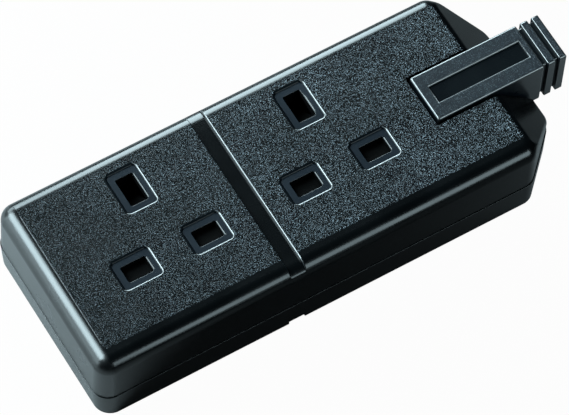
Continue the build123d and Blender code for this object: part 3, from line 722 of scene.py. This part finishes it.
def sleeve_mask(tree, coordinates):
    """One on the top face of the sleeve, nought below it."""
    height = add_split(tree, coordinates)["Z"]
    return add_range(tree, height, sleeve_high.z - PANEL_STEP, sleeve_high.z - PANEL_STEP / 2)


cover_black = grain_over(
    smooth_black,
    "housing_grained",
    panel_mask,
    pebbles=6300.0,
    depth=0.031 * MM,
    rough=0.23,
    share=1.15,
    make_step=left_step,
)
sleeve_grained = grain_over(
    sleeve_black,
    "sleeve_grained",
    sleeve_mask,
    pebbles=6000.0,
    depth=0.02 * MM,
    rough=0.35,
    share=0.3,
)

# %% [markdown]
# The closed end is duller than the rest: its rounding shows a wide soft light in place of a sharp line. A
# separate material would leave a hard border at the corners, so the roughness of the same material
# rises over a millimetre beside the panel, and a thin coat with its own roughness comes in there.

# %% Dull closed end
END_FADE = 1.0 * MM
END_ROUGHER = 0.06
END_COAT = 0.45
END_COAT_ROUGHNESS = 0.33


def dull_end(material):
    """Make the rounding and the wall of the closed end rougher, under a thin dull coat."""
    tree = material.node_tree
    shader = tree.nodes["Principled BSDF"]
    along = add_split(tree, tree.nodes["Texture Coordinate"].outputs["Object"])["X"]
    rougher = add_range(tree, along, PANEL_LEFT, PANEL_LEFT - END_FADE, 0, END_ROUGHER)
    plain = shader.inputs["Roughness"].links[0].from_socket
    tree.links.new(add_math(tree, "ADD", plain, rougher), shader.inputs["Roughness"])
    coat = add_range(tree, along, PANEL_LEFT, PANEL_LEFT - END_FADE, 0, END_COAT)
    tree.links.new(coat, shader.inputs["Coat Weight"])
    shader.inputs["Coat Roughness"].default_value = END_COAT_ROUGHNESS
    print(material.name, "is duller left of", round(PANEL_LEFT / MM, 2), "mm")


dull_end(cover_black)

# %% [markdown]
# ## Dressing the pieces
# Two skins, the cover and the sleeve, take several finishes. Their bevels already carry the place of the
# rim, and a rule per skin looks at where a face lies and how it is turned to find the rest. The rims keep a
# lighter finish, a painted highlight; on the cover the rims turned away from the light, and on the sleeve
# the floors of the recess and grooves, take a darker one, a painted shade. All other pieces take one finish
# all over.

# %% Dress every piece
RECESS_DEPTH = 0.7 * MM
RIB_GROOVE_DEPTH = 1.0 * MM
INSIDE_UNDER = 1.9 * MM
TILT_LOW = 0.2
TILT_HIGH = 0.97

nodes = frame["nodes"]


def dress_skin(piece, finishes, place_of):
    """Give a skin its finishes; the rule names a place for a face, or None to leave it."""
    while len(piece.material_slots) < len(finishes):
        piece.data.materials.append(None)
    for place, finish in zip(piece.material_slots, finishes):
        place.material = finish
    for face in piece.data.polygons:
        chosen = place_of(face)
        if chosen is not None:
            face.material_index = chosen


def cover_place(face):
    """Dark inside under the slots, satin floor of the frames, painted shade on the rims of the shaded
    sides.
    """
    across = PANEL_FRONT < face.center.y < PANEL_BACK
    along = PANEL_LEFT < face.center.x < PANEL_RIGHT
    if across and along and face.center.z < TOP - INSIDE_UNDER:
        return INSIDE_PLACE
    if abs(face.center.z - (TOP - FRAME_DEPTH)) < LEVEL_WITHIN and by_a_slot(face.center):
        return FRAME_PLACE
    # Rims turned away from the key lamp take the darker finish: painted shade.
    if face.material_index == RIM_PLACE and face.normal.x > face.normal.y:
        return SHADE_PLACE
    return None


def sleeve_place(face):
    """Painted shade on the floors of the recess and grooves, plain front faces turned to the back, polished
    slopes with a painted highlight.
    """
    for depth in (RECESS_DEPTH, RIB_GROOVE_DEPTH):
        if abs(face.center.z - (sleeve_high.z - depth)) < LEVEL_WITHIN:
            return INSIDE_PLACE
    if face.center.y < 0 and face.normal.y > TILT_LOW:
        return BODY_PLACE
    if TILT_LOW < face.normal.z < TILT_HIGH:
        return RIM_PLACE
    return None


dress_skin(top_cover, [cover_black, rim_highlight_finish, shutter_black, frame_black, recess_and_rim_shade], cover_place)
dress([base_cover], smooth_black)
dress_skin(sleeve, [sleeve_grained, rim_highlight_finish, recess_and_rim_shade], sleeve_place)
dress([nodes["shutter_left"], nodes["shutter_right"], nodes["cord_clamp"]], shutter_black)
dress([nodes["shutter_retainer_left"], nodes["shutter_retainer_right"]], retainer_black)
brass_names = ("busbar", "terminal")
for line in ("live", "neutral", "earth"):
    dress([nodes[f"{line}_{name}"] for name in brass_names], brass)
dress([nodes["cover_screws"], nodes["terminal_screws"], nodes["cord_clamp_screws"]], zinc)
dress(coils, wire)
print("dressed", len(top_cover.data.polygons) + len(sleeve.data.polygons), "faces of the skins by rule")

# %% [markdown]
# ## Floor, lamps and world
# A product photograph of a black object is all about what the black reflects. The floor is a large
# white sheet that the camera sees as white, but that the object mirrors as dark. A large soft lamp from
# the left and behind lights the grain and the rounding of the closed end. Four smaller ones draw the
# lines of light along the back, round the back left corner, along the front and along the closed end. Three
# more shine on the floor alone, beside the closed end, behind, and by the cable end, because the walls
# there mirror a patch of bright floor.
# The front wall mirrors floor that hardly any lamp reaches and stays almost black.

# %% White floor
FLOOR_SIZE = 6.0
FLOOR_WHITE = (0.93, 0.93, 0.93)
PAPER_LIFT = 0.975
MIRROR_LIFT = 0.006

bpy.ops.object.select_all(action="DESELECT")
bpy.ops.mesh.primitive_plane_add(size=FLOOR_SIZE, location=(0, 0, cad_low.z))
floor = bpy.context.object
floor.name = "floor"
bpy.ops.object.transform_apply(location=True)
floor_white = moulded_finish(
    "floor_sheet",
    dark=FLOOR_WHITE,
    light=FLOOR_WHITE,
    rough=(0.85, 0.90),
    pebbles=200.0,
    depth=0.002 * MM,
)
tree = floor_white.node_tree
path = tree.nodes.new("ShaderNodeLightPath")
seen = add_math(tree, "MULTIPLY", path.outputs["Is Camera Ray"], PAPER_LIFT)
for ray in ("Is Glossy Ray", "Is Transmission Ray"):
    mirrored = add_math(tree, "MULTIPLY", path.outputs[ray], MIRROR_LIFT)
    seen = add_math(tree, "ADD", seen, mirrored)
glow = tree.nodes.new("ShaderNodeEmission")
paper = tree.nodes.new("ShaderNodeMixShader")
share_of_glow, plain_side, glowing_side = paper.inputs
tree.links.new(seen, share_of_glow)
tree.links.new(tree.nodes["Principled BSDF"].outputs["BSDF"], plain_side)
tree.links.new(glow.outputs["Emission"], glowing_side)
tree.links.new(paper.outputs["Shader"], tree.nodes["Material Output"].inputs["Surface"])
dress([floor], floor_white)
print("floor sheet of", FLOOR_SIZE, "m")

# %% Soft lamps
LAMP_COLOUR = (0.72, 0.93, 1.0)


def soft_lamp(name, lights, turn, rise, away, size, power):
    """Area lamp on a sphere round the origin and aimed at it; angles in degrees, power in watts."""
    azimuth = math.radians(turn)
    elevation = math.radians(rise)
    data = bpy.data.lights.new(name, "AREA")
    data.shape = "RECTANGLE"
    data.size, data.size_y = size
    data.energy = power
    data.color = LAMP_COLOUR
    lamp = bpy.data.objects.new(name, data)
    bpy.context.scene.collection.objects.link(lamp)
    across = math.cos(elevation) * away
    place = Vector((math.sin(azimuth) * across, math.cos(azimuth) * across, math.sin(elevation) * away))
    lamp.location = place
    lamp.rotation_euler = (-place).to_track_quat("-Z", "Y").to_euler()
    lamp.visible_camera = False
    lamp.light_linking.receiver_collection = lights
    print(name, "at", [round(value, 2) for value in place], "m,", power, "W")


def floor_link(name, state):
    """Collection that takes the floor in or leaves it out of a lamp's light."""
    link = bpy.data.collections.new(name)
    link.objects.link(floor)
    link.collection_objects[0].light_linking.link_state = state
    return link


all_but_floor = floor_link("all_but_floor", "EXCLUDE")
floor_alone = floor_link("floor_alone", "INCLUDE")

# A turn is from +Y, the back, towards +X, the cable end.
soft_lamp("key_lamp", all_but_floor, turn=-50, rise=48, away=2.0, size=(1.2, 1.2), power=74.0)
soft_lamp("back_lamp", all_but_floor, turn=18, rise=26, away=0.9, size=(0.3, 0.6), power=8.5)
soft_lamp("corner_lamp", all_but_floor, turn=-12, rise=24, away=0.9, size=(0.5, 0.36), power=4.0)
soft_lamp("front_lamp", all_but_floor, turn=155, rise=28, away=0.75, size=(0.45, 0.34), power=2.2)
soft_lamp("side_lamp", all_but_floor, turn=-68, rise=13, away=0.9, size=(0.7, 0.4), power=3.1)
soft_lamp("left_floor_lamp", floor_alone, turn=-62, rise=18, away=0.3, size=(0.2, 0.1), power=1.0)
soft_lamp("back_floor_lamp", floor_alone, turn=12, rise=20, away=0.16, size=(0.2, 0.05), power=0.06)
soft_lamp("end_floor_lamp", floor_alone, turn=106, rise=13, away=0.11, size=(0.03, 0.03), power=0.008)

# %% World and colour
WORLD_STRENGTH = 0.009

world = bpy.data.worlds.new("studio")
bpy.context.scene.world = world
world.use_nodes = True
background = world.node_tree.nodes["Background"]
background.inputs["Color"].default_value = (*LAMP_COLOUR, 1)
background.inputs["Strength"].default_value = WORLD_STRENGTH
bpy.context.scene.view_settings.view_transform = "Standard"
print("world at", WORLD_STRENGTH)

# %% [markdown]
# ## Camera
# The plug standard fixes the pattern of the slots, so the camera could be worked out from where the
# slots lie in the photograph. It is a long lens, high over the front left corner, with a slight lean.

# %% Photograph's camera
PHOTO_WIDTH = 569
FOCAL_PIXELS = 4639
SENSOR = 36.0
AIM = Vector((-12.0 * MM, -10.0 * MM, TOP))
AZIMUTH = math.radians(-34.45)
ELEVATION = math.radians(61.05)
LEAN = math.radians(4.21)
DISTANCE = 1270 * MM
CLIP_NEAR = 0.1
CLIP_FAR = 20.0

camera_data = bpy.data.cameras.new("photo_camera")
camera_data.sensor_width = SENSOR
camera_data.lens = FOCAL_PIXELS / PHOTO_WIDTH * SENSOR
camera = bpy.data.objects.new("photo_camera", camera_data)
bpy.context.scene.collection.objects.link(camera)
level = math.cos(ELEVATION)
back = Vector((math.sin(AZIMUTH) * level, -math.cos(AZIMUTH) * level, math.sin(ELEVATION)))
camera.location = AIM + back * DISTANCE
camera.rotation_mode = "QUATERNION"
camera.rotation_quaternion = (-back).to_track_quat("-Z", "Y") @ Quaternion((0, 0, 1), LEAN)
camera_data.clip_start = CLIP_NEAR
camera_data.clip_end = CLIP_FAR
bpy.context.scene.camera = camera
print("camera at", [round(value / MM, 1) for value in camera.location])
